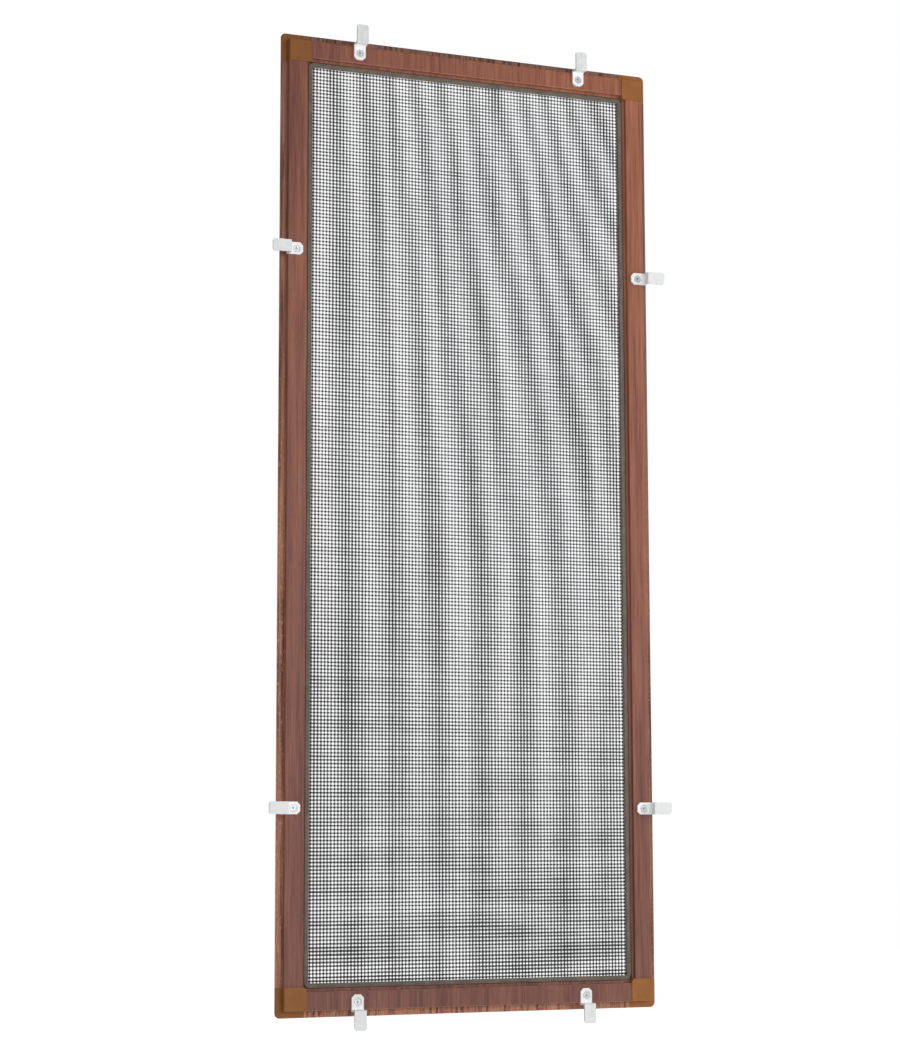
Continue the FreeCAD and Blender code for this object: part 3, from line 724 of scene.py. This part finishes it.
# %% Floor
FLOOR_REACH = 12.0
FLOOR_DROP = 0.6
floor_level = cad_box[0][2] - FLOOR_DROP
floor_mesh = bpy.data.meshes.new("floor")
floor_corners = [(sx * FLOOR_REACH, sy * FLOOR_REACH, floor_level)
                 for sx, sy in ((-1, -1), (1, -1), (1, 1), (-1, 1))]
floor_mesh.from_pydata(floor_corners, [], [(0, 1, 2, 3)])
floor_finish, shader = new_finish("pale_floor")
tree = floor_finish.node_tree
shade = stretched_noise(tree, (2, 2, 2), detail=3.0)
feed(tree, shader.inputs["Base Color"], ramp(tree, shade, [(0.3, grey(0.88)), (0.7, grey(0.9))]))
shader.inputs["Roughness"].default_value = 0.9
shader.inputs["Emission Color"].default_value = WHITE
shader.inputs["Emission Strength"].default_value = 0.88
floor_mesh.materials.append(floor_finish)
floor = bpy.data.objects.new("floor", floor_mesh)
floor.visible_diffuse = False
floor.visible_shadow = False
bpy.context.scene.collection.objects.link(floor)
print("floor at", round(floor_level, 4), "m")

# %% Surround
SURROUND_LIGHT = 0.22
surround = bpy.data.worlds.new("surround")
surround.use_nodes = True
tree = surround.node_tree
soft_light = tree.nodes["Background"]
soft_light.inputs["Color"].default_value = WHITE
soft_light.inputs["Strength"].default_value = SURROUND_LIGHT
white = add(tree, "ShaderNodeBackground", Color=WHITE, Strength=1.0)
seen = add(tree, "ShaderNodeLightPath")
chosen = add(tree, "ShaderNodeMixShader", Fac=seen.outputs["Is Camera Ray"])
tree.links.new(soft_light.outputs["Background"], chosen.inputs[1])
tree.links.new(white.outputs["Background"], chosen.inputs[2])
tree.links.new(chosen.outputs["Shader"], tree.nodes["World Output"].inputs["Surface"])
bpy.context.scene.world = surround
print("surround at", SURROUND_LIGHT)


# %% Softboxes
def softbox(name, place, width, height, power):
    """A soft rectangular lamp that faces the middle of the screen and stays out of the picture."""
    lamp = bpy.data.lights.new(name, "AREA")
    lamp.shape = "RECTANGLE"
    lamp.size = width
    lamp.size_y = height
    lamp.energy = power
    holder = bpy.data.objects.new(name, lamp)
    holder.location = place
    holder.rotation_euler = (-Vector(place)).to_track_quat("-Z", "Y").to_euler()
    holder.visible_camera = False
    bpy.context.scene.collection.objects.link(holder)
    print(name, round(Vector(place).length, 2), "m from the screen")


softbox("front_softbox", (0.3, -2.4, 0.2), 1.4, 1.4, 25.0)
softbox("low_softbox", (-0.3, -0.9, -3.0), 1.6, 1.0, 28.0)
softbox("back_softbox", (0.9, 2.4, 0.9), 1.4, 1.4, 18.0)
softbox("right_softbox", (1.45, -1.0, 0.25), 0.4, 1.4, 15.0)
softbox("left_softbox", (-2.2, -0.35, 0.1), 0.5, 1.4, 9.0)

# %% [markdown]
# ## Camera
# The picture was taken from the left and from below the middle, looking slightly up, with a long
# lens. The place and the angles below were found by fitting the frame's edges.

# %% Camera of the photograph
IMAGE_WIDTH = 900
FOCAL_PIXELS = 2428.97
SENSOR_WIDTH = 36.0
CAMERA_PLACE = Vector((-906.37, -2231.72, -307.79)) * MM
YAW, PITCH_UP, ROLL = -0.3778, 0.1258, 0.0023

lens = bpy.data.cameras.new("camera")
lens.sensor_fit = "HORIZONTAL"
lens.sensor_width = SENSOR_WIDTH
lens.lens = FOCAL_PIXELS / IMAGE_WIDTH * SENSOR_WIDTH
camera = bpy.data.objects.new("camera", lens)
look_level = Matrix.Rotation(math.pi / 2, 3, "X")
aim = Matrix.Rotation(YAW, 3, "Z") @ Matrix.Rotation(PITCH_UP, 3, "X") @ Matrix.Rotation(ROLL, 3, "Y")
camera.matrix_world = Matrix.Translation(CAMERA_PLACE) @ (aim @ look_level).to_4x4()
bpy.context.scene.collection.objects.link(camera)
bpy.context.scene.camera = camera
bpy.context.scene.view_settings.view_transform = "Standard"
print("lens", round(lens.lens, 2), "mm")
